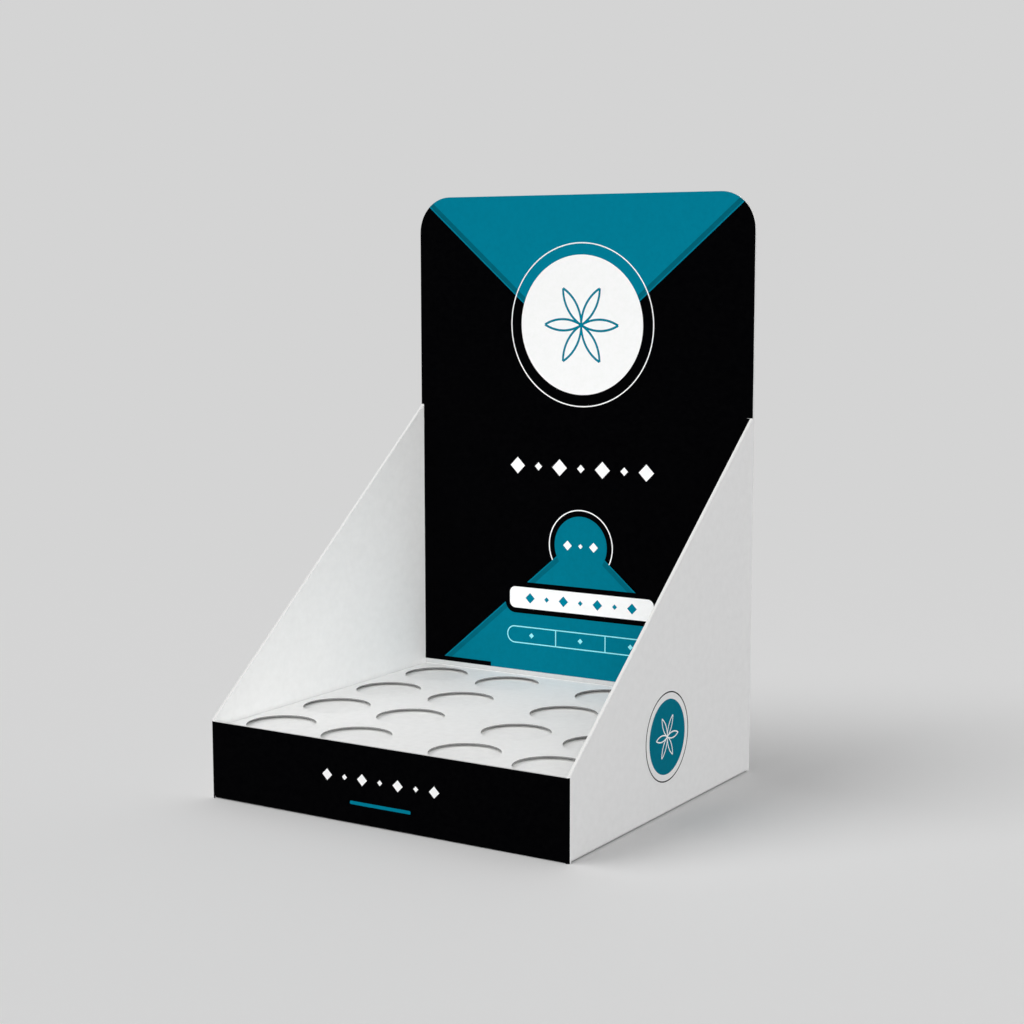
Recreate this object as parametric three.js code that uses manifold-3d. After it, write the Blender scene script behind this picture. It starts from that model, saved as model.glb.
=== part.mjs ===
// Counter display box: a one-piece folding carton with a tall header, a punched deck that keeps
// bottles upright in shallow pockets, and the riser tray under the deck that the bottles stand on.
// Millimetres, +Z up, +X to the right, +Y to the back. The origin is the middle of the footprint,
// on the counter.

import * as THREE from 'three';
import { mergeVertices } from 'three/addons/utils/BufferGeometryUtils.js';
import Module from 'manifold-3d';

// Carton: outside sizes, and the board that it is folded from
const width = 200;
const depth = 182.4;
const frontHeight = 38;
const sideTipHeight = 180;
const headerTop = 292.4;
const headerCornerRadius = 19;
const cartonBoard = 1.5;
const foldRadius = 1.5;

// Glue tab: it folds forward from the rear wall and lies inside the right wall
const tabWidth = 15;
const tabDrop = 6;
const tabBevel = 5;
const tabStart = 3;
const glueFilm = 0.2;
const shoulderGap = 0.15;

// Bottom flaps: the front and rear ones meet along a hooked seam, and the side ones lie over them
const flapGap = 0.5;
const flapRoot = 25;
const flapRamp = 5;
const sideFlapReach = 78;
const sideFlapTipHalf = 46;
const flapCornerRadius = 10;
const seamHook = 9;
const seamRun = 12;
const cornerKeep = 1.8;

// Punched deck: holes in rows, with a clear lane between its two middle columns
const deckHeight = 35;
const deckBoard = 0.6;
const deckClearance = 0.4;
const holeDiameter = 34;
const holeMargin = 7;
const middleLane = 27.4;
const holeRows = 4;
const columnsPerHalf = 2;

// Riser tray: its top is the floor of the pockets
const riserBoard = 0.8;
const riserClearance = 0.4;
const pocketDepth = 2;

// Flanges of both trays
const flangeTaper = 2;
const flangeEndGap = 1;

// Print on the rear wall and header, measured from the middle of the sheet and from the counter
const printBottom = 37.6;
const artOffset = 1.4;
const lineWidth = 0.8;
const veeTip = 207;
const bandEdge = 0.7;
const bandWidth = 2.4;
const roundelHeight = 225;
const roundelRadius = 36.5;
const roundelRingRadius = 42.6;
const rosetteRadius = 22;
const rosetteArcs = 6;
const ornamentHeight = 149.5;
const ornamentPitch = 13;
const ornamentSize = 9;
const ornamentCount = 7;
const smallRoundelHeight = 108.2;
const smallRoundelRadius = 15.9;
const smallRingRadius = 19.2;
const smallOrnamentCount = 3;
const peakTip = 114.5;
const peakHalfWidth = 90;
const footStripLength = 45;
const footStripThickness = 2.5;
const barHeight = 77.6;
const barWidth = 88;
const barThickness = 11.6;
const barRadius = 3.4;
const barBorder = 2.8;
const cellBarHeight = 57.1;
const cellBarWidth = 91;
const cellBarThickness = 8.9;
const cellCount = 3;

// Print on the front wall and on the right wall
const frontOrnamentHeight = 21.6;
const frontOrnamentPitch = 10;
const frontOrnamentSize = 5.6;
const frontLineHeight = 10.2;
const frontLineLength = 34;
const frontLineThickness = 1.6;
const badgeHeight = 37;
const badgeRadius = 17.9;
const badgeRingRadius = 21.2;
const badgeRosetteRadius = 11;
const badgeLineWidth = 0.6;

// Furthest that a straight step may lie from the arc that it stands for
const chordError = 0.04;

const colours = {
  board: 0xf4f4f2,
  black: 0x060607,
  teal: 0x007a93,
  deepTeal: 0x04667a,
  white: 0xfbfcfb,
  pale: 0xa9d3dc,
};

// What follows from the sizes above
const halfWidth = width / 2;
const halfDepth = depth / 2;
const innerHalfWidth = halfWidth - cartonBoard;
const innerHalfDepth = halfDepth - cartonBoard;
const tabInnerX = innerHalfWidth - glueFilm - cartonBoard;
const inkWrap = foldRadius * (1 - Math.SQRT1_2);
const cutMargin = 1;
const overlap = cartonBoard / 2;

const wasm = await Module();
wasm.setup();

// A solid of manifold-3d from a closed three.js geometry, and a mesh back from a solid.

function solidOf(geometry) {
  const bare = geometry.clone();
  bare.deleteAttribute('normal');
  bare.deleteAttribute('uv');
  const merged = mergeVertices(bare, 1e-4);
  return new wasm.Manifold(new wasm.Mesh({
    numProp: 3,
    vertProperties: new Float32Array(merged.attributes.position.array),
    triVerts: new Uint32Array(merged.index.array),
  }));
}

function meshOf(name, solid, finish, print = new Map()) {
  const { vertProperties, triVerts, runIndex, runOriginalID } = solid.getMesh();
  const indexed = new THREE.BufferGeometry();
  indexed.setAttribute('position', new THREE.BufferAttribute(vertProperties, 3));
  indexed.setIndex(new THREE.BufferAttribute(triVerts, 1));
  const geometry = indexed.toNonIndexed();
  geometry.computeVertexNormals();
  const material = new THREE.MeshStandardMaterial({ name: `${name}_board`, metalness: 0, ...finish });
  if (print.size > 0) {
    const colour = new Float32Array(triVerts.length * 3);
    const paint = new THREE.Color();
    const normal = new THREE.Vector3();
    runOriginalID.forEach((id, run) => {
      const ink = print.get(id);
      for (let corner = runIndex[run]; corner < runIndex[run + 1]; corner++) {
        normal.fromBufferAttribute(geometry.attributes.normal, corner);
        const inked = ink !== undefined && normal.dot(ink.faces) > 0.5;
        paint.set(inked ? ink.colour : colours.board).toArray(colour, corner * 3);
      }
    });
    geometry.setAttribute('color', new THREE.BufferAttribute(colour, 3));
    material.vertexColors = true;
  }
  const mesh = new THREE.Mesh(geometry, material);
  mesh.name = name;
  return mesh;
}

// Outlines, and the three ways that they are drawn: in plan, seen from the front and seen from the
// right. A prism runs along the third axis, from one value to another.

function outline(...points) {
  return new THREE.Shape(points.map(([u, v]) => new THREE.Vector2(u, v)));
}

// Arcs get enough straight steps to keep within the chord error. A step here is half of what
// three.js takes it for on an arc, so the count is always even and an arc has a middle vertex.

function arcSteps(shape) {
  const arcs = [shape, ...shape.holes].flatMap((path) => path.curves)
    .filter((curve) => curve.isEllipseCurve);
  const steps = arcs.map((arc) => {
    const turn = Math.abs(arc.aEndAngle - arc.aStartAngle);
    return Math.ceil(turn / 4 / Math.acos(1 - chordError / arc.xRadius));
  });
  return Math.max(1, ...steps);
}

function prism(shape, from, to, basis) {
  const geometry = new THREE.ExtrudeGeometry(shape, {
    depth: to - from,
    bevelEnabled: false,
    curveSegments: arcSteps(shape),
  });
  geometry.translate(0, 0, from);
  if (basis) geometry.applyMatrix4(basis);
  return solidOf(geometry);
}

const axisX = new THREE.Vector3(1, 0, 0);
const axisY = new THREE.Vector3(0, 1, 0);
const axisZ = new THREE.Vector3(0, 0, 1);
const frontBasis = new THREE.Matrix4().makeBasis(axisX, axisZ, axisY.clone().negate());
const sideBasis = new THREE.Matrix4().makeBasis(axisY, axisZ, axisX);

const inPlan = (shape, lowZ, highZ) => prism(shape, lowZ, highZ);
const fromFront = (shape, nearY, farY) => prism(shape, -farY, -nearY, frontBasis);
const fromRight = (shape, lowX, highX) => prism(shape, lowX, highX, sideBasis);

function rectangle(u0, v0, u1, v1) {
  return outline([u0, v0], [u1, v0], [u1, v1], [u0, v1]);
}

function unionOf(solids) {
  return solids.reduce((sum, solid) => sum.add(solid));
}

// Carton walls. In plan they are one ribbon: right wall, front wall, left wall and rear wall, with
// rounded folds between them. Its two ends meet behind the right wall, where the glue tab is.

function wallRibbon() {
  const r = foldRadius;
  const ribbon = new THREE.Shape();
  ribbon.moveTo(halfWidth, halfDepth);
  ribbon.lineTo(innerHalfWidth, halfDepth);
  ribbon.lineTo(innerHalfWidth, -innerHalfDepth);
  ribbon.lineTo(-innerHalfWidth, -innerHalfDepth);
  ribbon.lineTo(-innerHalfWidth, innerHalfDepth);
  ribbon.lineTo(tabInnerX, innerHalfDepth);
  ribbon.lineTo(tabInnerX + cartonBoard, innerHalfDepth);
  ribbon.absellipse(tabInnerX, innerHalfDepth, cartonBoard, cartonBoard, 0, Math.PI / 2, false);
  ribbon.lineTo(-halfWidth + r, halfDepth);
  ribbon.absarc(-halfWidth + r, halfDepth - r, r, Math.PI / 2, Math.PI, false);
  ribbon.absarc(-halfWidth + r, -halfDepth + r, r, Math.PI, Math.PI * 1.5, false);
  ribbon.absarc(halfWidth - r, -halfDepth + r, r, Math.PI * 1.5, Math.PI * 2, false);
  ribbon.lineTo(halfWidth, halfDepth);
  return ribbon;
}

// Height of a side wall's sloped edge, from the front wall's outside to the rear wall's inside.

function slopeHeight(y) {
  const share = (y + halfDepth) / (innerHalfDepth + halfDepth);
  return frontHeight + share * (sideTipHeight - frontHeight);
}

function cartonWalls() {
  const tall = inPlan(wallRibbon(), 0, sideTipHeight);
  const sideProfile = outline(
    [-halfDepth - cutMargin, -cutMargin],
    [halfDepth + cutMargin, -cutMargin],
    [halfDepth + cutMargin, sideTipHeight + cutMargin],
    [innerHalfDepth, sideTipHeight + cutMargin],
    [innerHalfDepth, sideTipHeight],
    [-halfDepth, frontHeight],
    [-halfDepth - cutMargin, frontHeight],
  );
  const aboveFront = rectangle(
    -innerHalfWidth,
    -halfDepth - cutMargin,
    innerHalfWidth,
    -innerHalfDepth + overlap,
  );
  return tall
    .intersect(fromRight(sideProfile, -width, width))
    .subtract(inPlan(aboveFront, frontHeight, sideTipHeight));
}

// Header: the rear wall goes on up at the full width. Its shoulders stop just over the side walls.

function header() {
  const r = headerCornerRadius;
  const shoulder = sideTipHeight + shoulderGap;
  const neckLeft = -halfWidth + foldRadius;
  const plate = new THREE.Shape();
  plate.moveTo(-halfWidth, shoulder);
  plate.lineTo(neckLeft, shoulder);
  plate.lineTo(neckLeft, sideTipHeight - overlap);
  plate.lineTo(tabInnerX, sideTipHeight - overlap);
  plate.lineTo(tabInnerX, shoulder);
  plate.lineTo(halfWidth, shoulder);
  plate.lineTo(halfWidth, headerTop - r);
  plate.absarc(halfWidth - r, headerTop - r, r, 0, Math.PI / 2, false);
  plate.lineTo(-halfWidth + r, headerTop);
  plate.absarc(-halfWidth + r, headerTop - r, r, Math.PI / 2, Math.PI, false);
  plate.lineTo(-halfWidth, shoulder);
  return fromFront(plate, innerHalfDepth, halfDepth);
}

function glueTab() {
  const front = halfDepth - tabWidth;
  const edge = slopeHeight(front) - tabDrop;
  const foldTop = slopeHeight(innerHalfDepth) - tabDrop;
  const tab = outline(
    [innerHalfDepth, cartonBoard + tabStart],
    [innerHalfDepth, foldTop],
    [front, edge - tabBevel],
    [front, cartonBoard + tabStart + tabBevel],
  );
  return fromRight(tab, tabInnerX, innerHalfWidth);
}

// Bottom flaps. The front and rear flaps lie on the counter. Each side flap starts beside them,
// then climbs by one board and lies glued on top of both.

function longFlap() {
  const root = innerHalfWidth - flapGap;
  const side = root - flapRoot;
  const seam = (y) => y - flapGap / 2;
  const flap = outline(
    [-root, -innerHalfDepth - overlap],
    [root, -innerHalfDepth - overlap],
    [root, -innerHalfDepth],
    [side, -innerHalfDepth + flapRoot],
    [side, seam(-seamHook)],
    [seamRun, seam(-seamHook)],
    [-seamRun, seam(seamHook)],
    [-side, seam(seamHook)],
    [-side, -innerHalfDepth + flapRoot],
    [-root, -innerHalfDepth],
  );
  return inPlan(flap, 0, cartonBoard);
}

function sideFlap() {
  const wall = -innerHalfWidth;
  const rampStart = wall + flapRoot - flapRamp;
  const rampEnd = wall + flapRoot;
  const tip = wall + sideFlapReach;
  const rootHalf = innerHalfDepth - flapGap;
  const r = flapCornerRadius;
  const bent = outline(
    [wall - overlap, 0],
    [rampStart, 0],
    [rampEnd, cartonBoard],
    [tip, cartonBoard],
    [tip, 2 * cartonBoard],
    [rampEnd, 2 * cartonBoard],
    [rampStart, cartonBoard],
    [wall - overlap, cartonBoard],
  );
  const blank = new THREE.Shape();
  blank.moveTo(wall - cartonBoard, -rootHalf);
  blank.lineTo(wall, -rootHalf);
  blank.lineTo(wall + flapRoot, -rootHalf + flapRoot);
  blank.lineTo(tip - r, -sideFlapTipHalf);
  blank.absarc(tip - r, -sideFlapTipHalf + r, r, Math.PI * 1.5, Math.PI * 2, false);
  blank.absarc(tip - r, sideFlapTipHalf - r, r, 0, Math.PI / 2, false);
  blank.lineTo(wall + flapRoot, rootHalf - flapRoot);
  blank.lineTo(wall, rootHalf);
  blank.lineTo(wall - cartonBoard, rootHalf);
  return fromFront(bent, -halfDepth, halfDepth)
    .intersect(inPlan(blank, -cutMargin, 2 * cartonBoard + cutMargin));
}

// What is cut off the bottom edge of each wall so that the flap's fold is round. It stops short of
// the corners, where the walls reach the counter.

function bottomFoldCut(distance, length) {
  const r = foldRadius;
  const cut = new THREE.Shape();
  cut.moveTo(-distance - cutMargin, -cutMargin);
  cut.lineTo(-distance + r, -cutMargin);
  cut.lineTo(-distance + r, 0);
  cut.absarc(-distance + r, r, r, Math.PI * 1.5, Math.PI, true);
  cut.lineTo(-distance - cutMargin, r);
  const reach = length / 2 - cornerKeep;
  return fromRight(cut, -reach, reach);
}

function foldedCarton() {
  const cuts = [0, 90, 180, 270].map((angle) => (
    angle % 180 === 0 ? bottomFoldCut(halfDepth, width) : bottomFoldCut(halfWidth, depth)
  ).rotate([0, 0, angle]));
  const flaps = [longFlap(), sideFlap()].flatMap((flap) => [flap, flap.rotate([0, 0, 180])]);
  return unionOf([cartonWalls(), header(), glueTab(), ...flaps]).subtract(unionOf(cuts));
}

// Print. Each field of ink is split off the sheet as a thin inlay and put back flush, so that its
// outline becomes edges of the mesh and its triangles can be given its colour.

const inks = new Map();

function printOn(sheet, field) {
  const [inlay, rest] = sheet.split(field.solid);
  const ink = inlay.asOriginal();
  inks.set(ink.originalID(), { colour: field.colour, faces: field.faces });
  return rest.add(ink);
}

const towardsFront = axisY.clone().negate();

const onRear = (shape, colour) => ({
  solid: fromFront(shape, innerHalfDepth - cutMargin, innerHalfDepth + inkWrap),
  faces: towardsFront,
  colour,
});
const onFront = (shape, colour) => ({
  solid: fromFront(shape, -halfDepth - cutMargin, -halfDepth + inkWrap),
  faces: towardsFront,
  colour,
});
const onRight = (shape, colour) => ({
  solid: fromRight(shape, halfWidth - inkWrap, halfWidth + cutMargin),
  faces: axisX,
  colour,
});

function disc(u, v, radius) {
  return new THREE.Shape().absarc(u, v, radius, 0, Math.PI * 2, false);
}

function ring(u, v, radius, stroke) {
  const shape = disc(u, v, radius + stroke / 2);
  shape.holes.push(disc(u, v, radius - stroke / 2));
  return shape;
}

function roundedBar(u, v, length, thickness, radius) {
  const x = length / 2 - radius;
  const y = thickness / 2 - radius;
  return new THREE.Shape()
    .absarc(u + x, v - y, radius, -Math.PI / 2, 0, false)
    .absarc(u + x, v + y, radius, 0, Math.PI / 2, false)
    .absarc(u - x, v + y, radius, Math.PI / 2, Math.PI, false)
    .absarc(u - x, v - y, radius, Math.PI, Math.PI * 1.5, false);
}

function lozenge(u, v, size) {
  return outline([u - size / 2, v], [u, v - size / 2], [u + size / 2, v], [u, v + size / 2]);
}

// A row of lozenges, large and small in turn, that starts and ends with a large one.

function lozengeRow(u, v, size, pitch, count) {
  return Array.from({ length: count }, (_, i) => (
    lozenge(u + (i - (count - 1) / 2) * pitch, v, i % 2 === 0 ? size : size / 2)
  ));
}

// The six-petalled rosette that a pair of compasses draws: six arcs of one radius, each centred on
// the rim and passing through the middle.

function rosette(u, v, radius, stroke) {
  const step = (Math.PI * 2) / rosetteArcs;
  return Array.from({ length: rosetteArcs }, (_, i) => {
    const out = i * step;
    const cu = u + radius * Math.cos(out);
    const cv = v + radius * Math.sin(out);
    const from = out + Math.PI - step;
    const to = out + Math.PI + step;
    return new THREE.Shape()
      .absarc(cu, cv, radius + stroke / 2, from, to, false)
      .absarc(cu, cv, radius - stroke / 2, to, from, true);
  });
}

// A triangle on a level base, drawn in from its two slanted sides by the inset.

function inwardTriangle(mid, halfBase, base, tip, inset) {
  const rise = tip - base;
  const inTip = tip - Math.sign(rise) * inset * Math.hypot(1, rise / halfBase);
  const inHalf = halfBase * (inTip - base) / rise;
  return outline([mid - inHalf, base], [mid + inHalf, base], [mid, inTip]);
}

// A teal triangle with a darker band a little way inside its slanted sides.

function bandedTriangle(mid, halfBase, base, tip) {
  return [
    [0, colours.teal],
    [bandEdge, colours.deepTeal],
    [bandEdge + bandWidth, colours.teal],
  ].map(([inset, ink]) => onRear(inwardTriangle(mid, halfBase, base, tip, inset), ink));
}

function rearPrint() {
  const mid = artOffset;
  const cellBar = (grow) => roundedBar(
    mid,
    cellBarHeight,
    cellBarWidth + grow,
    cellBarThickness + grow,
    (cellBarThickness + grow) / 2,
  );
  const cellFrame = cellBar(lineWidth);
  cellFrame.holes.push(cellBar(-lineWidth));
  const cellStep = cellBarWidth / cellCount;
  const dividers = Array.from({ length: cellCount - 1 }, (_, i) => {
    const x = mid + (i + 1 - cellCount / 2) * cellStep;
    const reach = cellBarThickness / 2;
    return rectangle(
      x - lineWidth / 2,
      cellBarHeight - reach,
      x + lineWidth / 2,
      cellBarHeight + reach,
    );
  });
  const cellDots = Array.from({ length: cellCount }, (_, i) => (
    lozenge(mid + (i - (cellCount - 1) / 2) * cellStep, cellBarHeight, cellBarThickness / 3)
  ));
  const smallOrnaments = lozengeRow(
    mid,
    smallRoundelHeight,
    smallRoundelRadius / 3,
    smallRoundelRadius / 2,
    smallOrnamentCount,
  );
  return [
    onRear(rectangle(-width, printBottom, width, headerTop + cutMargin), colours.black),
    ...bandedTriangle(0, halfWidth, headerTop, veeTip),
    onRear(ring(mid, roundelHeight, roundelRingRadius, lineWidth), colours.white),
    onRear(disc(mid, roundelHeight, roundelRadius), colours.white),
    ...rosette(mid, roundelHeight, rosetteRadius, lineWidth * 1.5)
      .map((arc) => onRear(arc, colours.teal)),
    ...lozengeRow(mid, ornamentHeight, ornamentSize, ornamentPitch, ornamentCount)
      .map((shape) => onRear(shape, colours.white)),
    onRear(ring(mid, smallRoundelHeight, smallRingRadius, lineWidth), colours.white),
    ...bandedTriangle(mid, peakHalfWidth, printBottom, peakTip),
    onRear(disc(mid, smallRoundelHeight, smallRoundelRadius), colours.teal),
    ...smallOrnaments.map((shape) => onRear(shape, colours.white)),
    onRear(rectangle(
      -width,
      printBottom,
      -halfWidth + footStripLength,
      printBottom + footStripThickness,
    ), colours.black),
    onRear(roundedBar(
      mid,
      barHeight,
      barWidth + 2 * barBorder,
      barThickness + 2 * barBorder,
      barRadius + barBorder,
    ), colours.black),
    onRear(roundedBar(mid, barHeight, barWidth, barThickness, barRadius), colours.white),
    ...lozengeRow(mid, barHeight, barThickness / 2, ornamentPitch * 0.8, ornamentCount)
      .map((shape) => onRear(shape, colours.teal)),
    onRear(cellFrame, colours.pale),
    ...[...dividers, ...cellDots].map((shape) => onRear(shape, colours.pale)),
  ];
}

function frontPrint() {
  return [
    onFront(rectangle(-width, -cutMargin, width, frontHeight + cutMargin), colours.black),
    ...lozengeRow(0, frontOrnamentHeight, frontOrnamentSize, frontOrnamentPitch, ornamentCount)
      .map((shape) => onFront(shape, colours.white)),
    onFront(roundedBar(
      0,
      frontLineHeight,
      frontLineLength,
      frontLineThickness,
      frontLineThickness / 3,
    ), colours.teal),
  ];
}

function badgePrint() {
  return [
    onRight(ring(0, badgeHeight, badgeRingRadius, badgeLineWidth), colours.black),
    onRight(disc(0, badgeHeight, badgeRadius), colours.deepTeal),
    ...rosette(0, badgeHeight, badgeRosetteRadius, badgeLineWidth)
      .map((arc) => onRight(arc, colours.white)),
  ];
}

function displayCarton() {
  const fields = [...frontPrint(), ...badgePrint(), ...rearPrint()];
  const printed = fields.reduce(printOn, foldedCarton());
  return meshOf('display_carton', printed, { roughness: 0.5 }, inks);
}

// An upside-down tray folded from a sheet: a flat top with a flange folded down from each side.
// The flanges taper a little towards their free edges and don't meet at the corners. The reliefs
// shorten the right flange and the rear flange where they would run into something.

function foldedTray(halfX, halfY, top, board, relief = { x: 0, y: 0 }) {
  const flange = (from, to, distance) => {
    const profile = new THREE.Shape();
    profile.moveTo(-distance, cartonBoard);
    profile.lineTo(-distance + board, cartonBoard);
    profile.lineTo(-distance + board, top - board);
    profile.lineTo(-distance + 2 * board, top - board);
    profile.lineTo(-distance + 2 * board, top);
    profile.lineTo(-distance + board, top);
    profile.absarc(-distance + board, top - board, board, Math.PI / 2, Math.PI, false);
    const taper = outline(
      [from, top + cutMargin],
      [from, top - board],
      [from + flangeTaper, cartonBoard - cutMargin],
      [to - flangeTaper, cartonBoard - cutMargin],
      [to, top - board],
      [to, top + cutMargin],
    );
    return fromRight(profile, from, to)
      .intersect(fromFront(taper, -distance - cutMargin, -distance + 3 * board));
  };
  const endX = halfX - board - flangeEndGap;
  const endY = halfY - board - flangeEndGap;
  const panel = outline(
    [-halfX + board, -halfY + board],
    [halfX - board, -halfY + board],
    [halfX - board, halfY - board - relief.y],
    [halfX - board - relief.x, halfY - board - relief.y],
    [halfX - board - relief.x, halfY - board],
    [-halfX + board, halfY - board],
  );
  return unionOf([
    inPlan(panel, top - board, top),
    flange(-endX, endX, halfY),
    flange(-endY, endY - relief.y, halfX).rotate([0, 0, 90]),
    flange(-endX + relief.x, endX, halfY).rotate([0, 0, 180]),
    flange(-endY, endY, halfX).rotate([0, 0, 270]),
  ]);
}

const deckHalfX = innerHalfWidth - deckClearance;
const deckHalfY = innerHalfDepth - deckClearance;

function holeCentres() {
  const radius = holeDiameter / 2;
  const outerColumn = halfWidth - holeMargin - radius;
  const innerColumn = middleLane / 2 + radius;
  const lastRow = halfDepth - holeMargin - radius;
  const centres = [];
  for (let row = 0; row < holeRows; row++) {
    const y = THREE.MathUtils.lerp(-lastRow, lastRow, row / (holeRows - 1));
    for (let column = 0; column < columnsPerHalf; column++) {
      const x = THREE.MathUtils.lerp(innerColumn, outerColumn, column / (columnsPerHalf - 1));
      centres.push([-x, y], [x, y]);
    }
  }
  return centres;
}

function punchedDeck() {
  const tabRoom = {
    x: deckHalfX - deckBoard - (tabInnerX - deckClearance),
    y: deckHalfY - deckBoard - (halfDepth - tabWidth - deckClearance),
  };
  const tray = foldedTray(deckHalfX, deckHalfY, deckHeight, deckBoard, tabRoom);
  const holes = holeCentres().map(([x, y]) => (
    inPlan(disc(x, y, holeDiameter / 2), deckHeight - deckBoard - cutMargin, deckHeight + cutMargin)
  ));
  return meshOf('punched_deck', tray.subtract(unionOf(holes)), {
    color: colours.board,
    roughness: 0.6,
  });
}

// The riser stands inside the deck's flanges and clear of the glue tab.

function riserTray() {
  const insideDeck = deckClearance + deckBoard;
  const insideTab = innerHalfWidth - tabInnerX;
  const tray = foldedTray(
    innerHalfWidth - Math.max(insideDeck, insideTab) - riserClearance,
    innerHalfDepth - insideDeck - riserClearance,
    deckHeight - pocketDepth,
    riserBoard,
  );
  return meshOf('riser_tray', tray, { color: colours.board, roughness: 0.65 });
}

const displayBox = new THREE.Group();
displayBox.name = 'counter_display_box';
displayBox.add(displayCarton(), punchedDeck(), riserTray());

export default displayBox;
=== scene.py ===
import math

import bmesh
import bpy
from mathutils import Matrix, Vector
from mathutils.geometry import delaunay_2d_cdt


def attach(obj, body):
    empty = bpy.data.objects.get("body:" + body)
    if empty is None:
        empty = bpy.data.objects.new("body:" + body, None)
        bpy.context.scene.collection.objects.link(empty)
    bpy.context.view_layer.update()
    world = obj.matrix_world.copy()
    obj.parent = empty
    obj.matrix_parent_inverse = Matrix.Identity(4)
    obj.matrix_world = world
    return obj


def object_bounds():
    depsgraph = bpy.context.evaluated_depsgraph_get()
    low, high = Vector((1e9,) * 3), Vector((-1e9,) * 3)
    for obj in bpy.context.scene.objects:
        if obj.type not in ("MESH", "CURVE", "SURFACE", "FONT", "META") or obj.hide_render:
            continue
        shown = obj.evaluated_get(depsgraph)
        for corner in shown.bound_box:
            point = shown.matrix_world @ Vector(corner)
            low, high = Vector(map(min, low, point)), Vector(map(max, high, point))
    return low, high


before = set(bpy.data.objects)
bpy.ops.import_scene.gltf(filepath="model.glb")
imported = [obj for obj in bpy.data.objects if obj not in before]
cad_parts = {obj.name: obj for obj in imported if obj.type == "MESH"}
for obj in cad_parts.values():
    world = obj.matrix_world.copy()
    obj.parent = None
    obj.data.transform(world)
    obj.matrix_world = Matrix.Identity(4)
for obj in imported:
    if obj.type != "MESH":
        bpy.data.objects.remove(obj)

# The looks of a counter display box: the finish of its board, the print on it, the floor, the
# lights and the camera. Metres, in the frame of the model: +X right, +Y back, +Z up.

MM = 0.001
cad_low, cad_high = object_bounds()

# Places and sizes of the model
HALF_WIDTH = cad_high.x
FRONT_FACE = cad_low.y
REAR_OUTSIDE = cad_high.y
HEADER_TOP = cad_high.z
FRONT_TOP = 38 * MM
BOARD = 1.5 * MM
REAR_FACE = REAR_OUTSIDE - BOARD
HEADER_RADIUS = 19 * MM

# The folded-down sides of the deck lie further than this from the middle, its holes nearer
SIDE_DISTANCE = 87 * MM

# Height of the normal: where a cut edge starts and where it fully counts as facing up, and the
# range that counts as the upright face of a hole
CUT_EDGE_TILT = 0.35, 0.6
HOLE_TILT = -0.5, 0.85

# Print: fields on the rear wall and header, measured from the middle and from the counter, and
# the bottom of the grey strip of painted shade that lies under the print
PRINT_BOTTOM = 37.6 * MM
FOOT_SHADE_BOTTOM = 35.1 * MM
ART_OFFSET = 1.4 * MM
LINE = 0.6 * MM
VEE_TIP = 207 * MM
BAND_EDGE = 0.7 * MM
BAND_WIDTH = 2.4 * MM
ROUNDEL_HEIGHT = 225 * MM
ROUNDEL_RADIUS = 36.5 * MM
ROUNDEL_RING_RADIUS = 42.6 * MM
ROSETTE_RADIUS = 22 * MM
ROSETTE_LINE = 1.2 * MM
ROSETTE_ARCS = 6
ORNAMENT_HEIGHT = 149.5 * MM
ORNAMENT_PITCH = 13 * MM
ORNAMENT_SIZE = 9 * MM
ORNAMENT_COUNT = 7
BAR_ORNAMENT_PITCH = 10.4 * MM
SMALL_ROUNDEL_HEIGHT = 108.2 * MM
SMALL_ROUNDEL_RADIUS = 15.9 * MM
SMALL_RING_RADIUS = 19.2 * MM
SMALL_ORNAMENT_COUNT = 3
PEAK_TIP = 114.5 * MM
PEAK_HALF_WIDTH = 90 * MM
BAR_HEIGHT = 77.6 * MM
BAR_WIDTH = 88 * MM
BAR_THICKNESS = 11.6 * MM
BAR_RADIUS = 3.4 * MM
BAR_BORDER = 2.8 * MM
CELL_BAR_HEIGHT = 57.1 * MM
CELL_BAR_WIDTH = 91 * MM
CELL_BAR_THICKNESS = 8.9 * MM
CELL_COUNT = 3
FOOT_STRIP_END = -55 * MM
FOOT_STRIP_THICKNESS = 2.5 * MM

# Print on the front wall and on the right wall
FRONT_ORNAMENT_HEIGHT = 21.6 * MM
FRONT_ORNAMENT_PITCH = 10 * MM
FRONT_ORNAMENT_SIZE = 5.6 * MM
FRONT_LINE_HEIGHT = 10.2 * MM
FRONT_LINE_LENGTH = 34 * MM
FRONT_LINE_THICKNESS = 1.6 * MM
BADGE_HEIGHT = 37 * MM
BADGE_RADIUS = 17.9 * MM
BADGE_RING_RADIUS = 21.2 * MM
BADGE_ROSETTE_RADIUS = 11 * MM
BADGE_LINE = 0.6 * MM

# Each layer of ink lies this much higher than the one before
INK_STEP = 0.02 * MM

# Points of an outline, or of overlapping outlines, that lie nearer than this are one
SAME_POINT = 0.001 * MM
REAR_PRINT_HALF_WIDTH = HALF_WIDTH - BOARD

# Straight steps of a rounding in the print, and how often a search halves its range
CORNER_STEPS = 16
HALVINGS = 40

# Surface detail as (repeats per metre, levels of detail, stretch along each axis if any)
MOTTLE = 260, 5
FIBRES = 900, 4, (4, 4, 1)
GRAIN = 2200, 3
RIPPLE = 18, 2
BOARD_GLOSS = 140, 4
INK_GLOSS = 160, 4
INK_PATCHES = 420, 5
RIPPLE_DEPTH = 0.12 * MM
BOARD_GRAIN_DEPTH = 0.012 * MM
INK_GRAIN_DEPTH = 0.008 * MM
BOARD_SPECULAR = 0.15

# How much smoother and how much rougher than its own roughness a surface gets in places
BOARD_UNEVENNESS = 0.05, 0.07
INK_UNEVENNESS = 0.04, 0.06


def linear(*srgb):
    """A colour for a shader from its 8-bit sRGB values."""
    def channel(value):
        share = value / 255
        return share / 12.92 if share <= 0.04045 else ((share + 0.055) / 1.055) ** 2.4
    return (*map(channel, srgb), 1.0)


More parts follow.
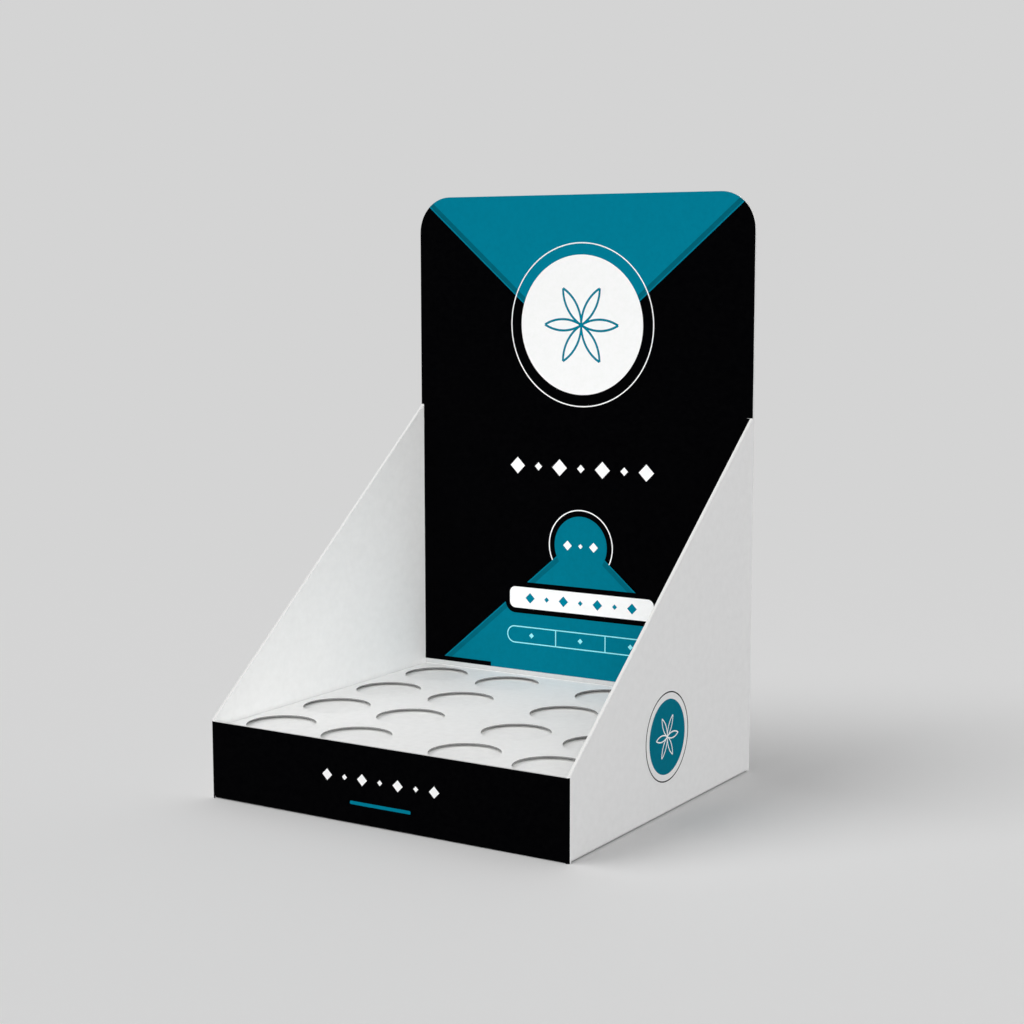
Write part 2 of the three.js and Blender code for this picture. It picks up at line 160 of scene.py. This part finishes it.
def add_node(tree, kind, links=None, values=None, **settings):
    """Adds a node to the tree, with what its inputs are linked to or set to."""
    node = tree.nodes.new(kind)
    for key, value in settings.items():
        setattr(node, key, value)
    for key, value in (values or {}).items():
        node.inputs[key].default_value = value
    for key, source in (links or {}).items():
        tree.links.new(source, node.inputs[key])
    return node


class Nodes:
    """The node tree of one material, with a short way to add nodes and links."""

    def __init__(self, name):
        self.material = bpy.data.materials.new(name)
        self.material.use_nodes = True
        self.tree = self.material.node_tree
        self.shader = self.tree.nodes["Principled BSDF"]
        self.output = self.tree.nodes["Material Output"]

    def add(self, *args, **settings):
        return add_node(self.tree, *args, **settings)

    def link(self, source, target):
        self.tree.links.new(source, target)

    def position(self):
        return self.add("ShaderNodeTexCoord").outputs["Object"]

    def noise(self, scale, detail, stretch=None):
        """A noise over the object, with its scale in repeats per metre."""
        place = self.position()
        if stretch:
            place = self.add(
                "ShaderNodeVectorMath",
                {0: place},
                {1: stretch},
                operation="MULTIPLY",
            ).outputs["Vector"]
        made = self.add(
            "ShaderNodeTexNoise",
            {"Vector": place},
            {"Scale": scale, "Detail": detail, "Roughness": 0.6},
        )
        return made.outputs["Fac"]

    def gloss(self, pattern, roughness, unevenness):
        """The roughness of a surface that is smoother in some places and rougher in others."""
        smoother, rougher = unevenness
        return self.spread(self.noise(*pattern), roughness - smoother, roughness + rougher)

    def spread(self, value, low, high):
        """Turns a value from about 0.3 to 0.7, as noise gives, into one from low to high."""
        return self.add(
            "ShaderNodeMapRange",
            {"Value": value},
            {"From Min": 0.3, "From Max": 0.7, "To Min": low, "To Max": high},
        ).outputs["Result"]

    def mix(self, share, first, second):
        node = self.add("ShaderNodeMix", data_type="RGBA")
        # Inputs 6 and 7 are the two colours, output 2 the mixed one
        for place, value in ((0, share), (6, first), (7, second)):
            socket = node.inputs[place]
            if isinstance(value, bpy.types.NodeSocket):
                self.link(value, socket)
            else:
                socket.default_value = value
        return node.outputs[2]

    def bump(self, height, distance, under=None):
        links = {"Height": height}
        if under:
            links["Normal"] = under
        values = {"Strength": 1.0, "Distance": distance}
        return self.add("ShaderNodeBump", links, values).outputs["Normal"]

    def finished(self, colour, roughness, normal, specular):
        """Links the shader's inputs and gives the material."""
        self.link(colour, self.shader.inputs["Base Color"])
        self.link(roughness, self.shader.inputs["Roughness"])
        self.link(normal, self.shader.inputs["Normal"])
        self.shader.inputs["Specular IOR Level"].default_value = specular
        return self.material

    def maths(self, operation, first, second):
        """A maths node: first is an output of another node, second is one too or a number."""
        linked = isinstance(second, bpy.types.NodeSocket)
        links = {0: first, 1: second} if linked else {0: first}
        values = {} if linked else {1: second}
        return self.add("ShaderNodeMath", links, values, operation=operation).outputs["Value"]


def normal_height(nodes):
    """The height of the surface's normal: 1 where it faces up and 0 on an upright wall."""
    normal = nodes.add("ShaderNodeNewGeometry").outputs["Normal"]
    return nodes.add("ShaderNodeSeparateXYZ", {0: normal}).outputs["Z"]


def reach(nodes):
    """How far the plane of the surface lies from the middle of the box. It is below 0 where the
    surface faces the middle."""
    return nodes.add(
        "ShaderNodeVectorMath",
        {0: nodes.position(), 1: nodes.add("ShaderNodeNewGeometry").outputs["Normal"]},
        operation="DOT_PRODUCT",
    ).outputs["Value"]


def upward_mask(nodes):
    """1 where the surface faces up, as a cut edge of an upright wall does, and 0 elsewhere."""
    low, high = CUT_EDGE_TILT
    return nodes.add(
        "ShaderNodeMapRange",
        {"Value": normal_height(nodes)},
        {"From Min": low, "From Max": high},
    ).outputs["Result"]


def outside_mask(nodes):
    """1 on the outer side of the upright walls and 0 on their inner side."""
    return nodes.maths("GREATER_THAN", reach(nodes), 0.0)


def hole_mask(nodes):
    """1 on the upright faces of the holes and 0 on the top and on the folded-down sides, which
    lie further out."""
    low, high = HOLE_TILT
    tilt = normal_height(nodes)
    upright = nodes.maths(
        "MULTIPLY", nodes.maths("LESS_THAN", tilt, high), nodes.maths("GREATER_THAN", tilt, low))
    return nodes.maths(
        "MULTIPLY", upright, nodes.maths("LESS_THAN", reach(nodes), SIDE_DISTANCE))


def board_material(name, bright, dim, roughness, shaded_edges_at=""):
    """White coated board: a fine mottle of fibres under the coating. On the sheet of the walls the
    outer side is painted a touch greyer, as painted shade, and the cut edges that face up are
    painted darker, partly as the tone of the board's inner layer and partly as painted shade. On
    the punched sheet the upright faces of the holes are painted grey, as painted shade."""
    nodes = Nodes(name)
    mottle = nodes.spread(nodes.noise(*MOTTLE), 0.0, 1.0)
    colour = nodes.mix(mottle, bright, dim)

    def edge_tone(light, dark):
        fibres = nodes.spread(nodes.noise(*FIBRES), 0.0, 1.0)
        return nodes.mix(fibres, light, dark)

    if shaded_edges_at == "top edges":
        # Painted shade: the outer side of the walls is painted a touch greyer than the inner side
        outer = nodes.mix(mottle, linear(246, 246, 246), linear(241, 241, 241))
        colour = nodes.mix(outside_mask(nodes), colour, outer)
        # The cut edges that face up are painted darker than the board: partly the tone of its
        # inner layer, partly painted shade
        edge_core_and_shade = edge_tone(linear(226, 226, 225), linear(214, 214, 212))
        colour = nodes.mix(upward_mask(nodes), colour, edge_core_and_shade)
    if shaded_edges_at == "holes":
        # Painted shade: the upright faces of the holes are painted grey, where shade falls under
        # the rims
        painted_hole_shade = edge_tone(linear(150, 150, 150), linear(130, 130, 130))
        colour = nodes.mix(hole_mask(nodes), colour, painted_hole_shade)
    ripple = nodes.bump(nodes.noise(*RIPPLE), RIPPLE_DEPTH)
    return nodes.finished(
        colour,
        nodes.gloss(BOARD_GLOSS, roughness, BOARD_UNEVENNESS),
        nodes.bump(nodes.noise(*GRAIN), BOARD_GRAIN_DEPTH, under=ripple),
        BOARD_SPECULAR,
    )


def ink_material(name, colour, other, roughness, specular):
    """Printed ink: a slight unevenness of colour and gloss, with the grain of the board in it."""
    nodes = Nodes(name)
    patches = nodes.spread(nodes.noise(*INK_PATCHES), 0.0, 1.0)
    return nodes.finished(
        nodes.mix(patches, colour, other),
        nodes.gloss(INK_GLOSS, roughness, INK_UNEVENNESS),
        nodes.bump(nodes.noise(*GRAIN), INK_GRAIN_DEPTH),
        specular,
    )


# Materials

carton_board = board_material(
    "white_carton_board", linear(250, 250, 249), linear(245, 245, 244), 0.52, "top edges")
deck_board = board_material(
    "white_deck_board", linear(248, 248, 247), linear(242, 242, 241), 0.6, "holes")
riser_board = board_material(
    "white_riser_board", linear(247, 247, 246), linear(240, 240, 239), 0.62)

# Inks: the two colours that one varies between, its roughness and its specular level
INKS = {
    name: ink_material(f"{name}_ink", linear(*first), linear(*second), roughness, specular)
    for name, first, second, roughness, specular in (
        ("black", (0, 0, 1), (3, 3, 4), 0.6, 0.01),
        ("teal", (0, 127, 153), (0, 122, 147), 0.5, 0.015),
        ("mid_teal", (0, 118, 141), (0, 113, 135), 0.5, 0.015),
        ("deep_teal", (0, 101, 121), (2, 96, 114), 0.5, 0.015),
        ("white", (255, 255, 255), (250, 251, 250), 0.5, 0.3),
        ("pale", (150, 240, 250), (140, 232, 243), 0.5, 0.1),
        # The last ink is no print: a light grey, painted shade for the strip at the rear wall's
        # foot
        ("foot_shade", (214, 216, 216), (207, 209, 209), 0.5, 0.1),
    )
}

# Board pieces: the model's own nodes, each in its board

for node, material in (
    ("display_carton", carton_board),
    ("punched_deck", deck_board),
    ("riser_tray", riser_board),
):
    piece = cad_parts[node]
    for slot in piece.material_slots:
        slot.material = material


# Outlines of the print, as lists of points

def circle(u, v, radius, steps=128):
    turns = (2 * math.pi * i / steps for i in range(steps))
    return [(u + radius * math.cos(t), v + radius * math.sin(t)) for t in turns]


def arc(u, v, radius, start, end, steps):
    turns = (start + (end - start) * i / steps for i in range(steps + 1))
    return [(u + radius * math.cos(t), v + radius * math.sin(t)) for t in turns]


def rounded_bar(u, v, length, thickness, radius, steps=10):
    x, y = length / 2 - radius, thickness / 2 - radius
    corners = ((x, -y, -0.5), (x, y, 0.0), (-x, y, 0.5), (-x, -y, 1.0))
    points = [
        point
        for cx, cy, start in corners
        for point in arc(u + cx, v + cy, radius, start * math.pi, (start + 0.5) * math.pi, steps)
    ]
    # A fully round end has no straight side, so two of its arcs meet in one point
    return [
        point for i, point in enumerate(points) if math.dist(point, points[i - 1]) > SAME_POINT
    ]


def lozenge(u, v, size):
    half = size / 2
    return [(u - half, v), (u, v - half), (u + half, v), (u, v + half)]


def lozenge_row(u, v, size, pitch, count):
    """A row of lozenges, large and small in turn, that starts and ends with a large one."""
    return [
        lozenge(u + (i - (count - 1) / 2) * pitch, v, size if i % 2 == 0 else size / 2)
        for i in range(count)
    ]


def rosette(u, v, radius, stroke, steps=40):
    """The six arcs of a compass-drawn rosette, each as one closed outline."""
    arcs = []
    step = 2 * math.pi / ROSETTE_ARCS
    for i in range(ROSETTE_ARCS):
        out = i * step
        centre = (u + radius * math.cos(out), v + radius * math.sin(out))
        start, end = out + math.pi - step, out + math.pi + step
        outer = arc(*centre, radius + stroke / 2, start, end, steps)
        inner = arc(*centre, radius - stroke / 2, end, start, steps)
        arcs.append(outer + inner)
    return arcs


def rectangle(u0, v0, u1, v1):
    return [(u0, v0), (u1, v0), (u1, v1), (u0, v1)]


# Faces of the box that carry print: (across, up, height over the face) to a point

def on_rear(u, v, height):
    return Vector((u, REAR_FACE - height, v))


def on_front(u, v, height):
    return Vector((u, FRONT_FACE - height, v))


def on_right(u, v, height):
    return Vector((HALF_WIDTH + height, u, v))


def ink_piece(name, mesh, ink):
    """Makes the mesh a piece of the box in one ink."""
    bmesh.ops.recalc_face_normals(mesh, faces=mesh.faces)
    data = bpy.data.meshes.new(name)
    mesh.to_mesh(data)
    mesh.free()
    # The normals that the carton's faces bring along don't fit the new faces
    brought = data.attributes.get("custom_normal")
    if brought:
        data.attributes.remove(brought)
    data.materials.append(INKS[ink])
    piece = bpy.data.objects.new(name, data)
    bpy.context.scene.collection.objects.link(piece)
    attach(piece, "root")


def print_piece(name, face, level, ink, outlines=(), bands=()):
    """A very thin closed plate of ink on a face. An outline is filled, and a band lies between an
    outer and an inner outline with the same number of points."""
    mesh = bmesh.new()
    height = level * INK_STEP

    def loop(points, at):
        return [mesh.verts.new(face(u, v, at)) for u, v in points]

    def walls(low, high):
        for i in range(len(low)):
            j = (i + 1) % len(low)
            mesh.faces.new((low[i], low[j], high[j], high[i]))

    for points in outlines:
        low, high = loop(points, 0), loop(points, height)
        mesh.faces.new(high)
        mesh.faces.new(low)
        walls(low, high)
    for outer, inner in bands:
        low_out, high_out = loop(outer, 0), loop(outer, height)
        low_in, high_in = loop(inner, 0), loop(inner, height)
        walls(low_out, high_out)
        walls(low_in, high_in)
        walls(low_out, low_in)
        walls(high_out, high_in)
    ink_piece(name, mesh, ink)


def merged_piece(name, face, level, ink, outlines):
    """A plate of ink like print_piece makes, of outlines that overlap."""
    points, loops = [], []
    for outline in outlines:
        loops.append(list(range(len(points), len(points) + len(outline))))
        points.extend(Vector(point) / MM for point in outline)
    spots, _, triangles, _, _, covers = delaunay_2d_cdt(points, [], loops, 0, SAME_POINT / MM)
    inside = [triangle for triangle, cover in zip(triangles, covers) if cover]
    mesh = bmesh.new()
    used = {i for triangle in inside for i in triangle}
    low = {i: mesh.verts.new(face(*(spots[i] * MM), 0)) for i in used}
    high = {i: mesh.verts.new(face(*(spots[i] * MM), level * INK_STEP)) for i in used}
    for triangle in inside:
        mesh.faces.new([low[i] for i in triangle])
        mesh.faces.new([high[i] for i in triangle])
    sides = [(t[k], t[(k + 1) % 3]) for t in inside for k in range(3)]
    shared = set(sides)
    for i, j in sides:
        if (j, i) not in shared:
            mesh.faces.new((low[i], low[j], high[j], high[i]))
    ink_piece(name, mesh, ink)


def ground_piece(name, keep, top):
    """The black ground: the faces of the carton that keep() picks, up to the height top, lifted
    off it by the ink's thickness."""
    mesh = bmesh.new()
    mesh.from_mesh(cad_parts["display_carton"].data)
    bmesh.ops.remove_doubles(mesh, verts=mesh.verts, dist=SAME_POINT)
    out = [f for f in mesh.faces if not keep(f.normal, f.calc_center_median())]
    bmesh.ops.delete(mesh, geom=out, context="FACES")
    bmesh.ops.bisect_plane(
        mesh,
        geom=mesh.verts[:] + mesh.edges[:] + mesh.faces[:],
        dist=SAME_POINT,
        plane_co=(0, 0, top),
        plane_no=(0, 0, 1),
        clear_outer=True,
    )
    bmesh.ops.dissolve_limit(
        mesh, angle_limit=math.radians(1), verts=mesh.verts, edges=mesh.edges)
    mesh.normal_update()
    base, rim = mesh.faces[:], [edge for edge in mesh.edges if edge.is_boundary]
    lifted = {v: v.co + v.normal * INK_STEP for v in mesh.verts}
    lifted = {v: mesh.verts.new(place) for v, place in lifted.items()}
    for face in base:
        face.smooth = False
        mesh.faces.new([lifted[v] for v in face.verts])
    for first, second in (edge.verts for edge in rim):
        mesh.faces.new((first, second, lifted[second], lifted[first]))
    ink_piece(name, mesh, "black")


TOWARDS_FRONT = Vector((0, -1, 0))
WRAP = math.cos(math.radians(45))
# Right of the middle the front wall's black goes further round the fold: the photograph shows a
# thinner white line there
RIGHT_WRAP = math.cos(math.radians(60))

ground_piece(
    "black_ground_front",
    lambda normal, middle: (
        normal.dot(TOWARDS_FRONT) > (RIGHT_WRAP if middle.x > 0 else WRAP)
        and middle.y < FRONT_FACE + BOARD
    ),
    FRONT_TOP,
)
ground_piece(
    "black_ground_rear",
    lambda normal, middle: (
        normal.dot(TOWARDS_FRONT) > WRAP
        and abs(middle.y - REAR_FACE) < BOARD / 2
        and middle.z > PRINT_BOTTOM
    ),
    HEADER_TOP,
)


def vee(edge):
    """The top triangle, drawn in from its slanted sides by edge."""
    rise = HEADER_TOP - VEE_TIP
    drop = edge / math.cos(math.atan2(rise, HALF_WIDTH))
    half = HALF_WIDTH * (rise - drop) / rise
    return clip_to_header([(-half, HEADER_TOP), (0, VEE_TIP + drop), (half, HEADER_TOP)])


def clip_to_header(triangle):
    """Cuts the triangle's two top corners back to the header's rounded ones."""
    (_, top), tip, (right, _) = triangle
    rise, run = top - tip[1], right - tip[0]
    centre = (HALF_WIDTH - HEADER_RADIUS, HEADER_TOP - HEADER_RADIUS)
    rounding = arc(*centre, HEADER_RADIUS, 0, math.pi / 2, CORNER_STEPS)
    inside = [
        (u, v) for u, v in rounding
        if v >= tip[1] + rise * (u - tip[0]) / run
    ]
    # The point where the slanted side meets the rounding
    low, high = 0.0, math.pi / 2
    for _ in range(HALVINGS):
        middle = (low + high) / 2
        u = centre[0] + HEADER_RADIUS * math.cos(middle)
        v = centre[1] + HEADER_RADIUS * math.sin(middle)
        if v < tip[1] + rise * (u - tip[0]) / run:
            low = middle
        else:
            high = middle
    corner = [(u, v), *inside]
    return [tip, *corner, *((-u, v) for u, v in reversed(corner))]


def peak(edge):
    """The lower triangle, drawn in from its slanted sides by edge."""
    rise = PEAK_TIP - PRINT_BOTTOM
    drop = edge / math.cos(math.atan2(rise, PEAK_HALF_WIDTH))
    half = PEAK_HALF_WIDTH * (rise - drop) / rise
    return [
        (ART_OFFSET - half, PRINT_BOTTOM),
        (ART_OFFSET + half, PRINT_BOTTOM),
        (ART_OFFSET, PEAK_TIP - drop),
    ]


# Rear wall and header

print_piece("vee_edge", on_rear, 2, "teal", [vee(0)])
print_piece("vee_band", on_rear, 3, "deep_teal", [vee(BAND_EDGE)])
print_piece("vee_field", on_rear, 4, "teal", [vee(BAND_EDGE + BAND_WIDTH)])
print_piece("roundel_ring", on_rear, 5, "white", bands=[(
    circle(ART_OFFSET, ROUNDEL_HEIGHT, ROUNDEL_RING_RADIUS + LINE / 2),
    circle(ART_OFFSET, ROUNDEL_HEIGHT, ROUNDEL_RING_RADIUS - LINE / 2),
)])
print_piece("roundel_disc", on_rear, 5, "white", [
    circle(ART_OFFSET, ROUNDEL_HEIGHT, ROUNDEL_RADIUS)])
merged_piece("roundel_rosette", on_rear, 6, "teal", rosette(
    ART_OFFSET, ROUNDEL_HEIGHT, ROSETTE_RADIUS, ROSETTE_LINE))
print_piece("rear_lozenges", on_rear, 2, "white", lozenge_row(
    ART_OFFSET, ORNAMENT_HEIGHT, ORNAMENT_SIZE, ORNAMENT_PITCH, ORNAMENT_COUNT))
print_piece("small_ring", on_rear, 2, "white", bands=[(
    circle(ART_OFFSET, SMALL_ROUNDEL_HEIGHT, SMALL_RING_RADIUS + LINE / 2),
    circle(ART_OFFSET, SMALL_ROUNDEL_HEIGHT, SMALL_RING_RADIUS - LINE / 2),
)])
print_piece("peak_edge", on_rear, 3, "mid_teal", [peak(0)])
print_piece("peak_band", on_rear, 4, "deep_teal", [peak(BAND_EDGE)])
print_piece("peak_field", on_rear, 5, "mid_teal", [peak(BAND_EDGE + BAND_WIDTH)])
print_piece("small_disc", on_rear, 6, "mid_teal", [
    circle(ART_OFFSET, SMALL_ROUNDEL_HEIGHT, SMALL_ROUNDEL_RADIUS)])
print_piece("small_disc_lozenges", on_rear, 7, "white", lozenge_row(
    ART_OFFSET,
    SMALL_ROUNDEL_HEIGHT,
    SMALL_ROUNDEL_RADIUS / 3,
    SMALL_ROUNDEL_RADIUS / 2,
    SMALL_ORNAMENT_COUNT,
))
# No print: a light grey strip at the rear wall's foot, just above the deck, is painted shade
print_piece("rear_foot_shade", on_rear, 1, "foot_shade", [rectangle(
    -REAR_PRINT_HALF_WIDTH, FOOT_SHADE_BOTTOM, REAR_PRINT_HALF_WIDTH, PRINT_BOTTOM)])
print_piece("foot_strip", on_rear, 6, "black", [rectangle(
    -REAR_PRINT_HALF_WIDTH, PRINT_BOTTOM, FOOT_STRIP_END, PRINT_BOTTOM + FOOT_STRIP_THICKNESS)])
print_piece("bar_border", on_rear, 6, "black", [rounded_bar(
    ART_OFFSET,
    BAR_HEIGHT,
    BAR_WIDTH + 2 * BAR_BORDER,
    BAR_THICKNESS + 2 * BAR_BORDER,
    BAR_RADIUS + BAR_BORDER,
)])
print_piece("bar_field", on_rear, 7, "white", [rounded_bar(
    ART_OFFSET, BAR_HEIGHT, BAR_WIDTH, BAR_THICKNESS, BAR_RADIUS)])
print_piece("bar_lozenges", on_rear, 8, "teal", lozenge_row(
    ART_OFFSET, BAR_HEIGHT, BAR_THICKNESS / 2, BAR_ORNAMENT_PITCH, ORNAMENT_COUNT))


def cell_bar(grow):
    return rounded_bar(
        ART_OFFSET,
        CELL_BAR_HEIGHT,
        CELL_BAR_WIDTH + grow,
        CELL_BAR_THICKNESS + grow,
        (CELL_BAR_THICKNESS + grow) / 2,
    )


CELL_STEP = CELL_BAR_WIDTH / CELL_COUNT
print_piece("cell_frame", on_rear, 6, "pale", bands=[(cell_bar(LINE), cell_bar(-LINE))])
print_piece("cell_dividers", on_rear, 6, "pale", [
    rectangle(
        x - LINE / 2,
        CELL_BAR_HEIGHT - CELL_BAR_THICKNESS / 2 + LINE / 2,
        x + LINE / 2,
        CELL_BAR_HEIGHT + CELL_BAR_THICKNESS / 2 - LINE / 2,
    )
    for x in (ART_OFFSET + (i + 1 - CELL_COUNT / 2) * CELL_STEP for i in range(CELL_COUNT - 1))
])
print_piece("cell_lozenges", on_rear, 6, "pale", [
    lozenge(
        ART_OFFSET + (i - (CELL_COUNT - 1) / 2) * CELL_STEP,
        CELL_BAR_HEIGHT,
        CELL_BAR_THICKNESS / 3,
    )
    for i in range(CELL_COUNT)
])

# Front wall

print_piece("front_lozenges", on_front, 2, "white", lozenge_row(
    0, FRONT_ORNAMENT_HEIGHT, FRONT_ORNAMENT_SIZE, FRONT_ORNAMENT_PITCH, ORNAMENT_COUNT))
print_piece("front_line", on_front, 2, "teal", [rounded_bar(
    0,
    FRONT_LINE_HEIGHT,
    FRONT_LINE_LENGTH,
    FRONT_LINE_THICKNESS,
    FRONT_LINE_THICKNESS / 3,
)])

# Right wall

print_piece("badge_ring", on_right, 1, "black", bands=[(
    circle(0, BADGE_HEIGHT, BADGE_RING_RADIUS + BADGE_LINE / 2),
    circle(0, BADGE_HEIGHT, BADGE_RING_RADIUS - BADGE_LINE / 2),
)])
print_piece("badge_disc", on_right, 1, "mid_teal", [circle(0, BADGE_HEIGHT, BADGE_RADIUS)])
merged_piece("badge_rosette", on_right, 2, "white", rosette(
    0, BADGE_HEIGHT, BADGE_ROSETTE_RADIUS, BADGE_LINE))

# Floor and backdrop. The floor takes the shadow near the box. Further out, what the camera sees
# of it fades to the plain colour of the world, so that there is no horizon. The light that the
# floor throws on the box is that of a darker floor than the camera sees.

BACKDROP = linear(212, 212, 212)
FLOOR_HALF = 12.0
FADE_START, FADE_END = 0.45, 1.1
FLOOR_SEEN, FLOOR_THROWING = linear(245, 245, 245), linear(160, 160, 160)

floor_mesh = bpy.data.meshes.new("floor")
floor_mesh.from_pydata(
    [(x * FLOOR_HALF, y * FLOOR_HALF, 0) for x, y in ((-1, -1), (1, -1), (1, 1), (-1, 1))],
    [],
    [(0, 1, 2, 3)],
)
floor = bpy.data.objects.new("floor", floor_mesh)
bpy.context.scene.collection.objects.link(floor)

paper = Nodes("floor_paper")
paper.shader.inputs["Roughness"].default_value = 0.9
paper.shader.inputs["Specular IOR Level"].default_value = 0.0
glow = paper.add("ShaderNodeEmission", values={"Color": BACKDROP, "Strength": 1.0})
away = paper.add("ShaderNodeVectorMath", {0: paper.position()}, operation="LENGTH")
fade = paper.add(
    "ShaderNodeMapRange",
    {"Value": away.outputs["Value"]},
    {"From Min": FADE_START, "From Max": FADE_END},
    interpolation_type="SMOOTHSTEP",
)


def looked_at(tree):
    """1 on rays from the camera, also once they have been reflected or let through."""
    rays = add_node(tree, "ShaderNodeLightPath").outputs
    direct = add_node(
        tree,
        "ShaderNodeMath",
        {0: rays["Is Camera Ray"], 1: rays["Is Glossy Ray"]},
        operation="ADD",
    )
    return add_node(
        tree,
        "ShaderNodeMath",
        {0: direct.outputs["Value"], 1: rays["Is Transmission Ray"]},
        operation="ADD",
        use_clamp=True,
    ).outputs["Value"]


seen = paper.maths("MULTIPLY", fade.outputs["Result"], looked_at(paper.tree))
paper.link(
    paper.mix(looked_at(paper.tree), FLOOR_THROWING, FLOOR_SEEN),
    paper.shader.inputs["Base Color"],
)
blend = paper.add(
    "ShaderNodeMixShader",
    {0: seen, 1: paper.shader.outputs["BSDF"], 2: glow.outputs["Emission"]},
)
paper.link(blend.outputs["Shader"], paper.output.inputs["Surface"])
floor_mesh.materials.append(paper.material)

# World: even light from all round, and the backdrop's colour where the camera looks past the floor

AMBIENT = 0.3
world = bpy.data.worlds.new("studio")
bpy.context.scene.world = world
world.use_nodes = True
sky = world.node_tree

background = sky.nodes["Background"]
background.inputs["Color"].default_value = (1.0, 1.0, 1.0, 1.0)
background.inputs["Strength"].default_value = AMBIENT
plain = add_node(sky, "ShaderNodeBackground", values={"Color": BACKDROP, "Strength": 1.0})
either = add_node(sky, "ShaderNodeMixShader", {
    0: looked_at(sky),
    1: background.outputs["Background"],
    2: plain.outputs["Background"],
})
sky.links.new(either.outputs["Shader"], sky.nodes["World Output"].inputs["Surface"])

# Lamps, all very broad and soft. The box and the floor have lamps of their own, so that the fills
# lay no shadows on the floor. The box gets a key from above on the left, and fills from the front,
# the right and the back. The floor gets a key from the same side, which lays the shadow to the
# right and back, and a dome.

BOX_ONLY, FLOOR_ONLY = "EXCLUDE", "INCLUDE"


def lamp(name, strength, softness, towards, floor_state):
    data = bpy.data.lights.new(name, "SUN")
    data.energy = strength
    data.angle = math.radians(softness)
    made = bpy.data.objects.new(name, data)
    made.rotation_mode = "QUATERNION"
    made.rotation_quaternion = Vector(towards).to_track_quat("Z", "Y")
    bpy.context.scene.collection.objects.link(made)
    lit = bpy.data.collections.new(f"lit_by_{name}")
    lit.objects.link(floor)
    lit.collection_objects[0].light_linking.link_state = floor_state
    made.light_linking.receiver_collection = lit


lamp("key", 0.72, 45, (-0.5, -0.3, 0.8), BOX_ONLY)
lamp("side_fill", 1.27, 60, (0.8, -0.5, 0.3), BOX_ONLY)
lamp("front_fill", 1.1, 60, (0.1, -1.0, 0.3), BOX_ONLY)
lamp("high_fill", 0.65, 60, (0.5, -0.6, 0.8), BOX_ONLY)
lamp("rear_fill", 1.0, 20, (-0.3, 1.0, 0.1), BOX_ONLY)
lamp("floor_key", 1.31, 45, (-0.5, -0.3, 0.8), FLOOR_ONLY)
lamp("floor_dome", 0.27, 180, (0.0, 0.0, 1.0), FLOOR_ONLY)

# Camera, at the photograph's place: found from the box's straight edges in the photograph

CAMERA_AT = Vector((0.5026, -0.7838, 0.25574))
CAMERA_YAW = math.radians(31.911)
CAMERA_PITCH = math.radians(7.306)
CAMERA_ROLL = math.radians(-0.07)
FOCAL_PIXELS, FRAME_PIXELS = 1920.4, 1024
SENSOR = 36.0

forward = Vector((
    -math.sin(CAMERA_YAW) * math.cos(CAMERA_PITCH),
    math.cos(CAMERA_YAW) * math.cos(CAMERA_PITCH),
    -math.sin(CAMERA_PITCH),
))
level_right = Vector((math.cos(CAMERA_YAW), math.sin(CAMERA_YAW), 0))
level_up = level_right.cross(forward)
right = math.cos(CAMERA_ROLL) * level_right + math.sin(CAMERA_ROLL) * level_up
up = math.cos(CAMERA_ROLL) * level_up - math.sin(CAMERA_ROLL) * level_right

camera_data = bpy.data.cameras.new("camera")
camera_data.sensor_width = SENSOR
camera_data.lens = FOCAL_PIXELS / FRAME_PIXELS * SENSOR
camera_data.clip_start = 0.05
camera_data.clip_end = 50
camera = bpy.data.objects.new("camera", camera_data)
turn = Matrix((right, up, -forward)).transposed()
camera.matrix_world = Matrix.Translation(CAMERA_AT) @ turn.to_4x4()
bpy.context.scene.collection.objects.link(camera)
bpy.context.scene.camera = camera

bpy.context.scene.view_settings.view_transform = "Standard"
